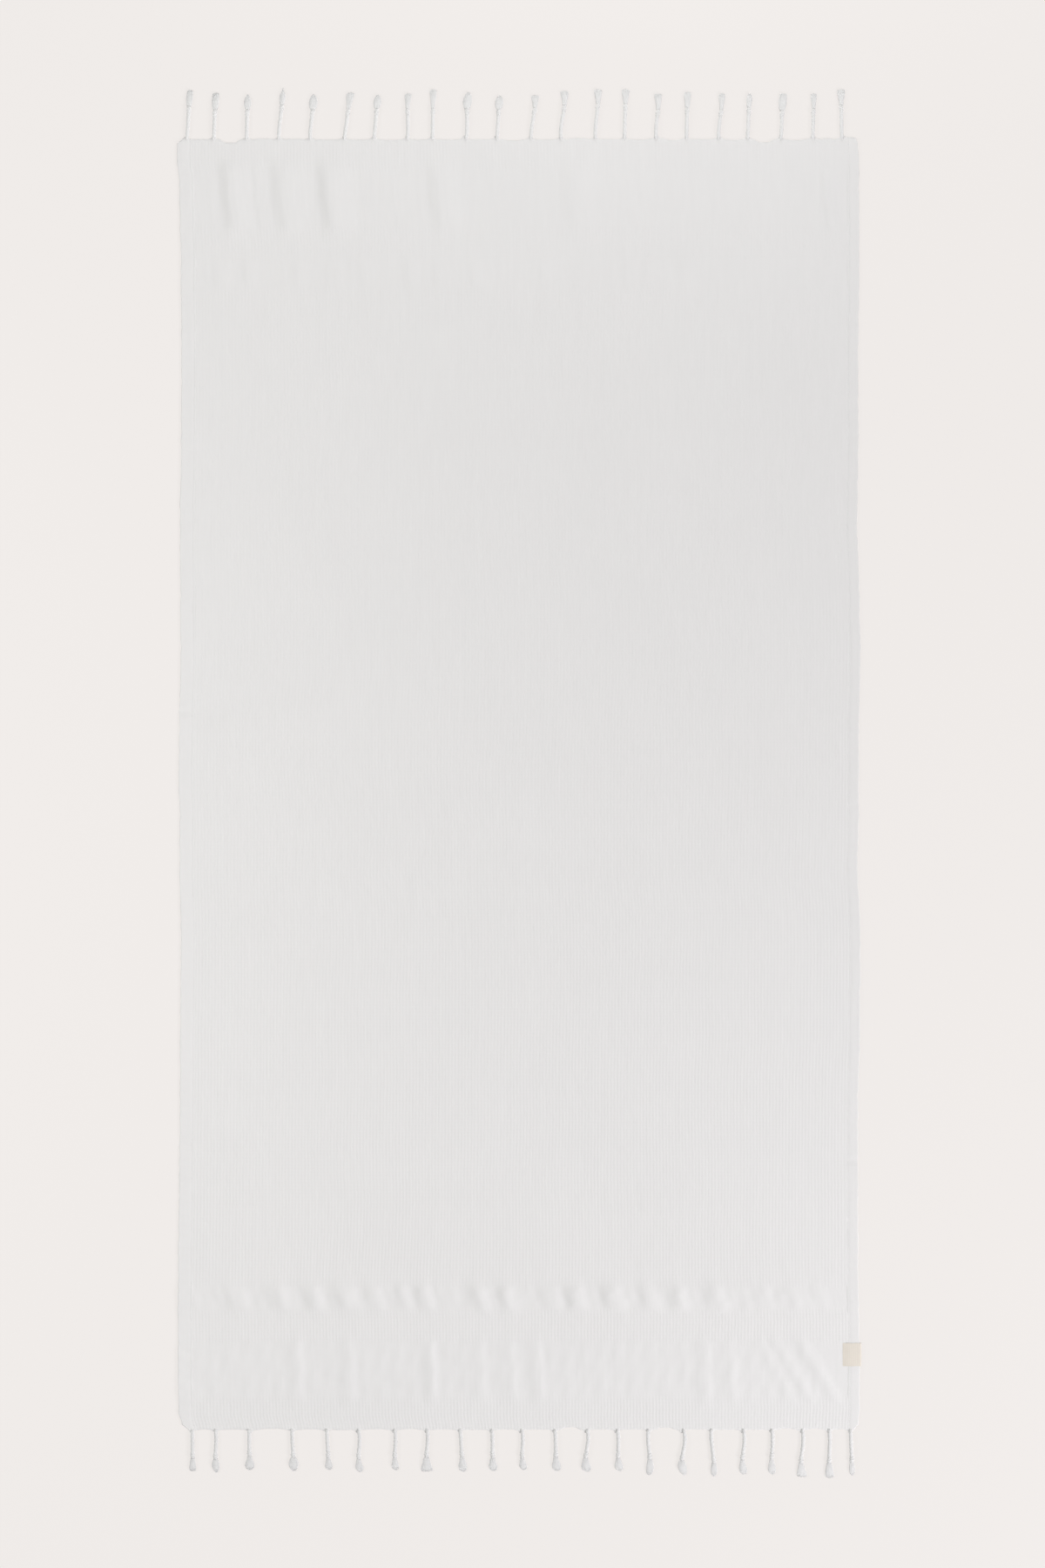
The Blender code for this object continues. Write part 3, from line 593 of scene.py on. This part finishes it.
def make_cloth(material):
    """The waffle cloth between the hems: one closed sheet with a rib for every four columns."""
    rows = cloth_rows()
    columns = RIBS * RIB_COLUMNS + 1
    part = np.arange(columns) / (columns - 1)
    y_row = np.array([row[0] for row in rows])
    left, right = edge_at(y_row)
    start = -left + HEM_LEFT
    end = right - HEM_RIGHT
    x = start[:, None] + (end - start)[:, None] * part
    y = np.repeat(y_row[:, None], columns, 1)
    for i, (_, crease, offset) in enumerate(rows):
        if crease is not None:
            y[i] = crease_line(crease, x[i])[0] + offset

    # The ribs wander, but not beside the hems.
    inside = ease(np.minimum(part, 1 - part) * 12)
    rib_x = x + WANDER * inside * swell(x * 0.5, y, 130, 420, 61)
    plain = plain_share(y)
    relief = RIB_RELIEF * relief_at(y) * (1 + 0.15 * swell(x, y, 40, 200, 62))
    crest = -np.cos(TURN * np.arange(columns) / RIB_COLUMNS)
    height = WAFFLE_TOP + (PLAIN_TOP - WAFFLE_TOP) * plain + relief / 2 * crest
    height = height - crease_at(x, y, CLOTH_CREASES)
    from_end = np.minimum(END_FAR - y, y - END_NEAR)
    round_off = np.sqrt(np.clip(from_end / CLOTH_ROUND, 0.0, 1.0))
    height = CLOTH_EDGE + (height - CLOTH_EDGE) * round_off
    lift = rise_at(x, y)
    top = np.stack([rib_x, drawn_out(x, y), lift + height], -1)

    # The cloth's sides tuck into the hems.
    tucks = []
    for column, side in ((0, -1), (-1, 1)):
        tuck = top[:, column] + np.array([side * TUCK, 0.0, 0.0])
        tuck[:, 2] = lift[:, column] + TUCK_HEIGHT
        tucks.append(tuck)
    drawn_in = np.sign(y) * UNDER_INSET * np.clip(1 - from_end / DRAWN, 0.0, 1.0)
    under = np.stack([rib_x, drawn_out(x, y - drawn_in), lift], -1)[:, ::UNDER_EVERY]
    under[:, 0, 0] += 0.5
    ring = np.concatenate([tucks[0][:, None], top, tucks[1][:, None], under[:, ::-1]], 1)

    index = np.arange(ring.shape[0] * ring.shape[1]).reshape(ring.shape[:2])
    faces = grid_faces(np.concatenate([index, index[:, :1]], 1))
    rib = part * RIBS
    rib_ring = np.concatenate([[rib[0]], rib, [rib[-1]], rib[::-UNDER_EVERY]])
    uv = np.stack([np.broadcast_to(rib_ring, index.shape), ring[..., 1] / CELL], -1)
    pile = Pile()
    pile.add(ring, faces, uv.reshape(-1, 2)[faces])
    # Each end is closed between the top and the underside.
    half = UNDER_EVERY // 2
    for row in (0, -1):
        ends = []
        top_index = index[row, 1:columns + 1]
        under_index = index[row, columns + 2:][::-1]
        for i, (a, b) in enumerate(zip(under_index, under_index[1:])):
            above = top_index[i * UNDER_EVERY:(i + 1) * UNDER_EVERY + 1]
            ends += [(a, above[k], above[k + 1]) for k in range(half)]
            ends += [(b, above[k], above[k + 1]) for k in range(half, UNDER_EVERY)]
            ends.append((a, above[half], b))
        ends.append((index[row, 0], top_index[0], under_index[0]))
        ends.append((index[row, columns + 1], top_index[-1], under_index[-1]))
        ends = np.array(ends)
        pile.faces.extend(ends.tolist())
        pile.uvs.append(uv.reshape(-1, 2)[ends].reshape(-1, 2))
    values = {"waffle": relief_at(ring[..., 1])}
    return make_piece("cloth_waffle", pile, material, point_values=values, crisp=True)


# ---- hems ----
def hem_section(hem, fold):
    """(inset from the outer edge, height) round a hem: over it inwards, then back under it."""
    half = HEM_TOP / 2
    turns = np.radians((0, 25, 50, 70, 90))
    upper = [(fold * (1 - math.cos(a)), half + half * math.sin(a)) for a in turns]
    # How far it lies below the hem's top at each inset, past the groove and on into the cloth.
    drops = ((fold + 0.9, 0.0), (hem * 0.4, 0.03), (hem * 0.65, 0.14), (hem - SEAM - 0.9, SEAM_DROP),
             (hem - SEAM, SEAM_DROP + GROOVE), (hem - SEAM + 0.7, 0.32), (hem - 0.3, 0.40),
             (hem + 1.1, 0.70))
    upper += [(inset, HEM_TOP - drop) for inset, drop in drops]
    lower = [(inset, max(half - half * math.sin(a), 0.0)) for (inset, _), a in zip(upper, turns)]
    lower += [(inset, 0.0) for inset, _ in upper[len(turns):-1]] + [(hem + 1.1, 0.5)]
    return upper + lower[:0:-1]


def hem_gather(y, seed):
    """How the hem's top rises and falls between the stitches and over longer waves."""
    return 0.10 * ripple(y, 9, 24, seed, 5) + 0.12 * ripple(y, 45, 160, seed + 1, 5)


def hem_points(hem, side, insets, heights, y, seed):
    """Plan points of a hem at each row's y, with its creases and waves."""
    left, right = edge_at(y)
    edge = left if side < 0 else right
    x = side * (edge[:, None] - insets)
    y = np.repeat(y[:, None], x.shape[1], 1)
    share = np.clip(heights / HEM_TOP, 0.0, 1.0)
    from_end = np.minimum(END_FAR - y, y - END_NEAR)
    round_off = np.sqrt(np.clip(from_end / HEM_ROUND, 0.12, 1.0))
    gather = hem_gather(y, seed) * share * ease(np.minimum(insets, hem - insets) / 4 + 0.3)
    z = (heights - 1.1 * crease_at(x, y, CREASES) * share + gather) * round_off
    return np.stack([x, drawn_out(x, y), rise_at(x, y) + np.maximum(z, 0.0)], -1)


def make_hem(name, hem, fold, side, seed, material, thread):
    """A hem along one side, and its line of stitches as a second piece."""
    section = np.array(hem_section(hem, fold))
    y = np.linspace(END_NEAR, END_FAR, round((END_FAR - END_NEAR) / HEM_STEP) + 1)
    y = np.sort(np.concatenate([y, END_FAR - np.array([0.4, 1.2]), END_NEAR + np.array([0.4, 1.2])]))
    points = hem_points(hem, side, section[:, 0], section[:, 1], y, seed)
    index = np.arange(points.shape[0] * points.shape[1]).reshape(points.shape[:2])
    looped = np.concatenate([index, index[:, :1]], 1)
    faces = grid_faces(looped)
    around = np.concatenate([[0.0], np.cumsum(np.linalg.norm(np.diff(section, axis=0), axis=1))])
    uv = np.stack([np.broadcast_to(around / 4.3, index.shape), points[..., 1] / CELL], -1)
    pile = Pile()
    pile.add(points, faces, uv.reshape(-1, 2)[faces])
    # Each end is closed between the upper side's points and those straight below them.
    last = (len(section) + 1) // 2
    for row in (0, -1):
        upper_index = index[row, :last]
        lower_index = np.concatenate([index[row, :1], index[row, :last - 1:-1]])
        caps = [(upper_index[0], upper_index[1], lower_index[1])]
        for k in range(1, last - 1):
            caps.append((upper_index[k], upper_index[k + 1], lower_index[k + 1], lower_index[k]))
        for cap in caps:
            pile.faces.append([int(corner) for corner in cap])
            pile.uvs.append(uv.reshape(-1, 2)[list(cap)])
    flat = np.zeros(points.shape[:2])
    piece = make_piece(name, pile, material, point_values={"waffle": flat}, crisp=True)

    # A line of stitches lies in the groove.
    count = round((END_FAR - END_NEAR) / STITCH)
    middle = END_NEAR + (np.arange(count) + 0.5) * (END_FAR - END_NEAR) / count
    along = np.array([-1.0, -0.72, 0.0, 0.72, 1.0])
    heights = HEM_TOP - SEAM_DROP - GROOVE + np.array([-0.25, -0.04, 0.02, -0.04, -0.25])
    paths = []
    for offset, height in zip(along * (STITCH * 0.43), heights):
        row = hem_points(hem, side, np.array([hem - SEAM]), np.array([height]), middle + offset, seed)
        paths.append(row[:, 0])
    radii = STITCH_THREAD * np.array([0.7, 1.0, 1.1, 1.0, 0.7])
    stitch_pile = Pile()
    stitch_pile.add(*tubes(np.stack(paths, 1), radii, 4))
    stitches = make_piece(name + "_stitching", stitch_pile, thread, "strand")
    return piece, stitches


# ---- tassels ----
def tuft_outline(tassel, t):
    """Half the width and the height of a tuft at each share of its length."""
    style = STYLES[tassel.style]
    half = tassel.flare / 2
    widths = (TUFT_NECK, style.neck * half, half, style.tip * half)
    width = eased(t, (0.0, 0.20, style.widest_at, 1.0), widths)
    height = eased(t, (0.0, 0.16, 0.4, 1.0), (0.78, 0.94, 1.0, 0.55)) * TUFT_HEIGHT
    return width, height


def tuft_parts(tassel):
    """Tubes of a tuft's strands and of the lump of yarn inside it, in (aside, distance, height)."""
    style = STYLES[tassel.style]
    start = tassel.reach - tassel.tuft
    column = np.arange(STRANDS)[:, None]
    place_round = math.pi * (-0.1 + 1.2 * (column + random.random((STRANDS, 1))) / STRANDS)
    shorter = style.uneven * np.cos(place_round) ** 2 + STRAND_RAGGED * random.random((STRANDS, 1))
    t = np.linspace(0.0, 1.0, 8) * (1.0 - shorter)
    half, height = tuft_outline(tassel, t)
    drift = STRAND_DRIFT * (t - 0.2) * random.normal(size=(STRANDS, 1))
    waves = 0.8 + random.random((STRANDS, 1))
    wave = STRAND_WAVE * np.sin(TURN * (t * waves + random.random((STRANDS, 1))))
    angle = place_round + drift + wave
    depth = 1.0 - STRAND_LAYER * random.random((STRANDS, 1)) * (0.4 + t)
    aside = np.cos(angle) * (half - STRAND_RADIUS) * depth
    up = height / 2 + np.sin(angle) * (height / 2 - STRAND_RADIUS) * depth
    paths = np.stack([aside, start + t * tassel.tuft, up], -1)
    radii = STRAND_RADIUS * (0.75 + 0.5 * random.random((STRANDS, 1))) * np.linspace(1.1, 0.7, 8)
    yield tubes(paths, radii, 4)

    t = np.linspace(0.0, LUMP_END, len(LUMP_TAPER))
    half, height = tuft_outline(tassel, t)
    taper = LUMP * np.array(LUMP_TAPER)
    path = np.stack([0 * t, start + t * tassel.tuft, height / 2], -1)[None]
    points, faces, uvs = tubes(path, half * taper, 16)
    flatter = height / 2 / np.maximum(half, 0.1)
    middle = path[:, :, None, 2]
    points[..., 2] = middle + (points[..., 2] - middle) * flatter[None, :, None]
    yield points, faces, uvs * (6.0, 0.1)


def cord_parts(fringe, tassel):
    """Tubes of a tassel's twisted cord and its knot."""
    begin = fringe.peak - CORD_START
    stop = tassel.reach - tassel.tuft - KNOT_LENGTH * 0.4
    turns = (stop - begin) / CORD_LAY
    t = np.linspace(0.0, 1.0, round(turns * 12) + 1)
    phase = random.random()
    plies = []
    for ply in (0, 0.5):
        angle = TURN * (turns * t + phase + ply)
        narrow = 0.75 + 0.25 * ease(t * 6)
        aside = CORD_OFFSET * np.cos(angle) * narrow
        up = CORD_PLY + CORD_OFFSET * (1 + np.sin(angle)) * narrow
        plies.append(np.stack([aside, begin + (stop - begin) * t, up], -1))
    swellings = 1 + CORD_UNEVEN * ripple(t * 40, 6, 20, int(random.integers(1000)), 4)
    swellings = swellings * (0.5 + 0.5 * ease(t * 7))
    yield tubes(np.stack(plies), CORD_PLY * swellings, 8)
    middle = np.stack([0 * t, begin + (stop - begin) * t, 0 * t + CORD_PLY + CORD_OFFSET], -1)
    yield tubes(middle[None, ::3], CORD_CORE * swellings[::3], 10)

    middle = tassel.reach - tassel.tuft - KNOT_LENGTH / 2
    angle = TURN * np.arange(18) / 18
    tilt = 0.45 + 0.35 * random.random()
    tilt = tilt if random.random() < 0.5 else -tilt
    loops = []
    for offset, tilted, size in KNOT_LOOPS:
        aside = KNOT_RADIUS * size * np.cos(angle)
        up = KNOT_ROPE + KNOT_RADIUS * size * (1 + np.sin(angle)) * KNOT_FLAT
        loops.append(np.stack([aside, middle + offset + tilt * tilted * aside, up], -1))
    yield tubes(np.stack(loops), KNOT_ROPE, 8, (0.0, 1.0, 0.0), closed=True)
    along = middle + np.linspace(*KNOT_CORE_SPAN, len(KNOT_CORE))
    path = np.stack([0 * along, along, np.full(len(KNOT_CORE), KNOT_CORE_HEIGHT)], -1)[None]
    yield tubes(path, np.array(KNOT_CORE), 8)


def make_tassels(fringe, material):
    """All the tassels of one end. Their point value loose is 0 up to the knot and 1 at a tuft's tip."""
    pile = Pile()
    loose = []
    for tassel in fringe.tassels:
        parts = [*cord_parts(fringe, tassel), *tuft_parts(tassel)]
        for points, faces, uvs in parts:
            aside, distance, up = np.moveaxis(points, -1, 0)
            share = np.clip(distance / tassel.reach, 0.0, 1.0)
            x = tassel.root + (tassel.tip - tassel.root) * share
            x = x + tassel.bow * np.sin(TURN * share) + aside
            y = fringe.line + fringe.side * distance
            into_tuft = (distance - tassel.reach + tassel.tuft) / tassel.tuft
            loose.append(np.clip(into_tuft, 0.0, 1.0).ravel())
            pile.add(np.stack([x, y, np.maximum(up, 0.02)], -1), faces, uvs)
    values = {"loose": np.concatenate(loose)}
    piece = make_piece(fringe.name, pile, material, "strand", values)
    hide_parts(fringe.node)
    return piece


# ---- label ----
def make_label(material):
    """A tape folded round the hem, with rounded long edges."""
    over_leg = LABEL_LIFT + HEM_TOP + SAG / 2 + LABEL_GAP
    radius = (over_leg + LABEL_TAPE - LABEL_UNDER) / 2
    cloth_top = PLAIN_TOP + float(rise_at(LABEL_INNER, LABEL_Y))
    down = over_leg + LABEL_TAPE / 2 - cloth_top - LABEL_CUT
    leg = LABEL_FOLD - LABEL_INNER
    middle = LABEL_UNDER + radius
    bend = radius - LABEL_TAPE / 2
    line = []
    for t in np.linspace(0.0, 1.0, 9):
        top = over_leg + LABEL_TAPE / 2 - down * ease(1 - t * LABEL_SLOPE)
        line.append((LABEL_INNER + leg * t, top))
    for a in np.radians((70, 48, 25, 0, -25, -48, -70)):
        line.append((LABEL_FOLD + bend * math.cos(a), middle + bend * math.sin(a)))
    for t in (0.1, 0.4, 0.7, 1):
        line.append((LABEL_FOLD - leg * t, LABEL_UNDER + LABEL_TAPE / 2))
    line = np.array(line)
    along = np.gradient(line, axis=0)
    along /= np.linalg.norm(along, axis=1, keepdims=True)
    normal = np.stack([-along[:, 1], along[:, 0]], -1)
    length = np.concatenate([[0.0], np.cumsum(np.linalg.norm(np.diff(line, axis=0), axis=1))])
    across = np.linspace(-0.5, 0.5, 13) * LABEL_LENGTH
    half = LABEL_TAPE / 2 * np.sqrt(np.clip((LABEL_LENGTH / 2 - abs(across)) / 0.5, 0.15, 1.0))
    sheets = []
    thinner = 0.3 + 0.7 * ease(length / 1.5)[:, None]
    for side in (1, -1):
        x = line[:, None, 0] + side * normal[:, None, 0] * half * thinner
        z = line[:, None, 1] + side * normal[:, None, 1] * half * thinner
        y = LABEL_Y + across + 0 * x + 0.15 * ripple(length, 9, 30, 71)[:, None]
        sheets.append(np.stack([x, y, z], -1))
    ring = np.concatenate([sheets[0], sheets[1][:, ::-1]], 1)
    index = np.arange(ring.shape[0] * ring.shape[1]).reshape(ring.shape[:2])
    faces = grid_faces(np.concatenate([index, index[:, :1]], 1))
    uv = np.stack([np.broadcast_to(length[:, None], index.shape), ring[..., 1]], -1)
    pile = Pile()
    pile.add(ring, faces, uv.reshape(-1, 2)[faces])
    for row in (0, -1):
        pile.faces.append(index[row].tolist())
        pile.uvs.append(uv[row])
    return make_piece("side_label", pile, material, crisp=True)


# ---- materials ----
class Shader:
    """A material whose nodes are added and linked by name."""

    def __init__(self, name):
        self.material = bpy.data.materials.new(name)
        self.material.use_nodes = True
        self.tree = self.material.node_tree
        self.surface = self.tree.nodes["Principled BSDF"]

    def node(self, kind, links=(), **settings):
        node = self.tree.nodes.new("ShaderNode" + kind)
        for key, value in settings.items():
            setattr(node, key, value)
        for socket, value in dict(links).items():
            self.feed(node.inputs[socket], value)
        return node

    def feed(self, socket, value):
        if isinstance(value, bpy.types.NodeSocket):
            self.tree.links.new(value, socket)
        else:
            socket.default_value = value

    def math(self, operation, *values):
        node = self.node("Math", operation=operation)
        for socket, value in zip(node.inputs, values):
            self.feed(socket, value)
        return node.outputs[0]

    def wave(self, phase, times=1.0):
        """Cosine of so many turns of phase."""
        return self.math("COSINE", self.math("MULTIPLY", phase, TURN * times))

    def uv(self, name):
        split = self.node("SeparateXYZ", {"Vector": self.node("UVMap", uv_map=name).outputs[0]})
        return split.outputs[0], split.outputs[1]

    def noise(self, scale, detail=2.0, roughness=0.5, stretch=(1.0, 1.0, 1.0)):
        """Noise of about -0.5 to 0.5 in the piece's own space, scale waves a metre."""
        place_node = self.node("TexCoord")
        mapped = self.node("Mapping", {"Vector": place_node.outputs["Object"], "Scale": stretch})
        found = self.node("TexNoise", {"Vector": mapped.outputs[0], "Scale": scale, "Detail": detail,
                                       "Roughness": roughness})
        return self.math("SUBTRACT", found.outputs[0], 0.5)

    def total(self, *parts):
        """Sum of (value, weight) pairs."""
        result = None
        for value, weight in parts:
            term = self.math("MULTIPLY", value, weight)
            result = term if result is None else self.math("ADD", result, term)
        return result

    def finish(self, colour, tint, height, roughness, sheen):
        """colour is scaled by 1 + tint. height is in millimetres."""
        scale = self.math("ADD", 1.0, tint)
        shade = self.node("VectorMath", {0: colour, "Scale": scale}, operation="SCALE")
        self.feed(self.surface.inputs["Base Color"], shade.outputs[0])
        bump = self.node("Bump", {"Height": height, "Distance": MM, "Strength": 1.0})
        self.feed(self.surface.inputs["Normal"], bump.outputs[0])
        self.surface.inputs["Roughness"].default_value = roughness
        self.surface.inputs["Specular IOR Level"].default_value = 0.25
        self.surface.inputs["Sheen Weight"].default_value = sheen
        self.surface.inputs["Sheen Roughness"].default_value = 0.45
        return self.material


def weave_material():
    """Waffle with cross lines in its valleys, and plain weave where the mesh says so."""
    shader = Shader("cotton_weave")
    rib, cell = shader.uv("weave")
    waffle = shader.node("Attribute", attribute_name="waffle").outputs["Fac"]
    valley = shader.math("MULTIPLY_ADD", shader.wave(rib), 0.5, 0.5)
    bars = shader.math("MULTIPLY", shader.wave(cell), shader.math("MULTIPLY_ADD", valley, 0.7, 0.3))
    thread = shader.math("MULTIPLY", shader.wave(rib, 3.0), shader.wave(cell, 3.25))
    yarn = shader.wave(rib, 6.0)
    fuzz = shader.noise(1400.0, 3.0, 0.6)
    slub = shader.noise(160.0, 2.0, 0.5, (1.0, 0.12, 1.0))
    bars = shader.math("MULTIPLY", bars, waffle)
    height = shader.total((bars, 0.014), (thread, 0.02), (yarn, 0.012), (fuzz, 0.10), (slub, 0.12))
    # Painted shade: the colour darkens in the waffle's valleys and lightens on its raised cross lines
    # and threads.
    valley_painted_shade = shader.math("MULTIPLY", valley, waffle)
    mottle = shader.noise(7.0, 3.0, 0.55)
    tint = shader.total((valley_painted_shade, -0.008), (bars, 0.005), (thread, 0.010), (slub, 0.03), (mottle, 0.025))
    return shader.finish(WEAVE_COLOUR, tint, height, 0.92, 0.25)


def yarn_material(name, colour, sheen, painted_tuft_shade=0.0):
    """Twisted yarn whose fibres wind along each strand. The last argument is painted light and shade on
    the tufts: how much paler their tips are painted, darker where it is negative.
    """
    shader = Shader(name)
    around, along = shader.uv("strand")
    fibres = shader.wave(shader.total((around, 4.0), (along, 0.45)))
    fuzz = shader.noise(1600.0, 3.0, 0.6)
    height = shader.total((fibres, 0.012), (fuzz, 0.015))
    mottle = shader.noise(60.0, 2.0)
    loose = shader.node("Attribute", attribute_name="loose").outputs["Fac"]
    # Painted shade: the colour is lighter where the winding fibres stand up and darker between them.
    tint = shader.total((fibres, 0.006), (fuzz, 0.012), (mottle, 0.03), (loose, painted_tuft_shade))
    return shader.finish(colour, tint, height, 0.94, sheen)


def label_material():
    """Woven tape with a fine rib and wider faint stripes across it."""
    shader = Shader("label_tape")
    along, across = shader.uv("weave")
    rib = shader.wave(along, 1 / 0.55)
    pick = shader.math("MULTIPLY", shader.wave(along, 1 / 0.55), shader.wave(across, 1 / 0.7))
    fuzz = shader.noise(1500.0, 3.0)
    height = shader.total((rib, 0.03), (pick, 0.03), (fuzz, 0.06))
    mottle = shader.noise(90.0, 2.0)
    stripe = shader.wave(along, 1 / 2.6)
    # Painted shade: the colour is lighter where the fine rib and its picks stand up and darker between
    # them.
    tint = shader.total((rib, 0.012), (pick, 0.015), (stripe, 0.015), (mottle, 0.04))
    return shader.finish(LABEL_COLOUR, tint, height, 0.80, 0.15)


# ---- stage ----
def make_stage():
    """Floor, even room light, three lamps, and a camera that looks straight down."""
    scene = bpy.context.scene
    scene.view_settings.view_transform = "Standard"
    floor_mesh = bpy.data.meshes.new("floor")
    corners = [(x * FLOOR_REACH, y * FLOOR_REACH, 0) for x, y in ((-1, -1), (1, -1), (1, 1), (-1, 1))]
    floor_mesh.from_pydata(corners, [], [(0, 1, 2, 3)])
    floor = bpy.data.objects.new("floor", floor_mesh)
    floor.location.z = -FLOOR_DROP
    scene.collection.objects.link(floor)
    material = bpy.data.materials.new("floor")
    material.use_nodes = True
    surface = material.node_tree.nodes["Principled BSDF"]
    surface.inputs["Base Color"].default_value = FLOOR_COLOUR
    surface.inputs["Roughness"].default_value = 1.0
    surface.inputs["Specular IOR Level"].default_value = 0.0
    surface.inputs["Emission Color"].default_value = FLOOR_GLOW
    surface.inputs["Emission Strength"].default_value = FLOOR_GLOW_STRENGTH
    floor_mesh.materials.append(material)

    world = bpy.data.worlds.new("soft_room")
    world.use_nodes = True
    tree = world.node_tree
    direction = tree.nodes.new("ShaderNodeTexCoord")
    split = tree.nodes.new("ShaderNodeSeparateXYZ")
    tree.links.new(direction.outputs["Generated"], split.inputs[0])
    # ROOM_ABOVE + ROOM_SIDES * (1 - abs(z)) ** 2
    level = split.outputs["Z"]
    steps = (("ABSOLUTE", 0.0), ("MULTIPLY_ADD", -1.0), ("POWER", 2.0), ("MULTIPLY", ROOM_SIDES),
             ("ADD", ROOM_ABOVE))
    for operation, value in steps:
        step = tree.nodes.new("ShaderNodeMath")
        step.operation = operation
        step.inputs[1].default_value = value
        step.inputs[2].default_value = 1.0
        tree.links.new(level, step.inputs[0])
        level = step.outputs[0]
    background = tree.nodes["Background"]
    background.inputs["Color"].default_value = (1.0, 1.0, 1.0, 1.0)
    tree.links.new(level, background.inputs["Strength"])
    scene.world = world

    for lamp in LAMPS:
        light = bpy.data.lights.new(lamp.name, "POINT")
        light.energy = lamp.watts
        light.shadow_soft_size = lamp.radius
        light.color = lamp.colour
        stand = bpy.data.objects.new(lamp.name, light)
        stand.location = lamp.place
        stand.visible_camera = False
        scene.collection.objects.link(stand)

    lens = bpy.data.cameras.new("overhead")
    lens.lens = LENS
    lens.sensor_width = SENSOR
    camera = bpy.data.objects.new("overhead", lens)
    x, y, _ = place((*PHOTO_MIDDLE, 0.0))
    camera.location = (x, y, PHOTO_HEIGHT * MM * LENS / SENSOR)
    scene.collection.objects.link(camera)
    scene.camera = camera


def main():
    weave = weave_material()
    thread = yarn_material("sewing_thread", SEAM_SHADE_THREAD_COLOUR, 0.10)
    yarn = yarn_material("cotton_yarn", PAINTED_SHADE_YARN_COLOUR, 0.15, 0.02)
    painted_light_yarn = yarn_material("cotton_yarn_far", PAINTED_LIGHT_YARN_COLOUR, 0.15, -0.03)
    cloth = make_cloth(weave)
    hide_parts("cloth")
    left = make_hem("hem_left", HEM_LEFT, FOLD_LEFT, -1, 81, weave, thread)
    right = make_hem("hem_right", HEM_RIGHT, FOLD_RIGHT, 1, 91, weave, thread)
    far = make_tassels(FAR, painted_light_yarn)
    near = make_tassels(NEAR, yarn)
    label = make_label(label_material())
    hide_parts("label")
    make_stage()


main()
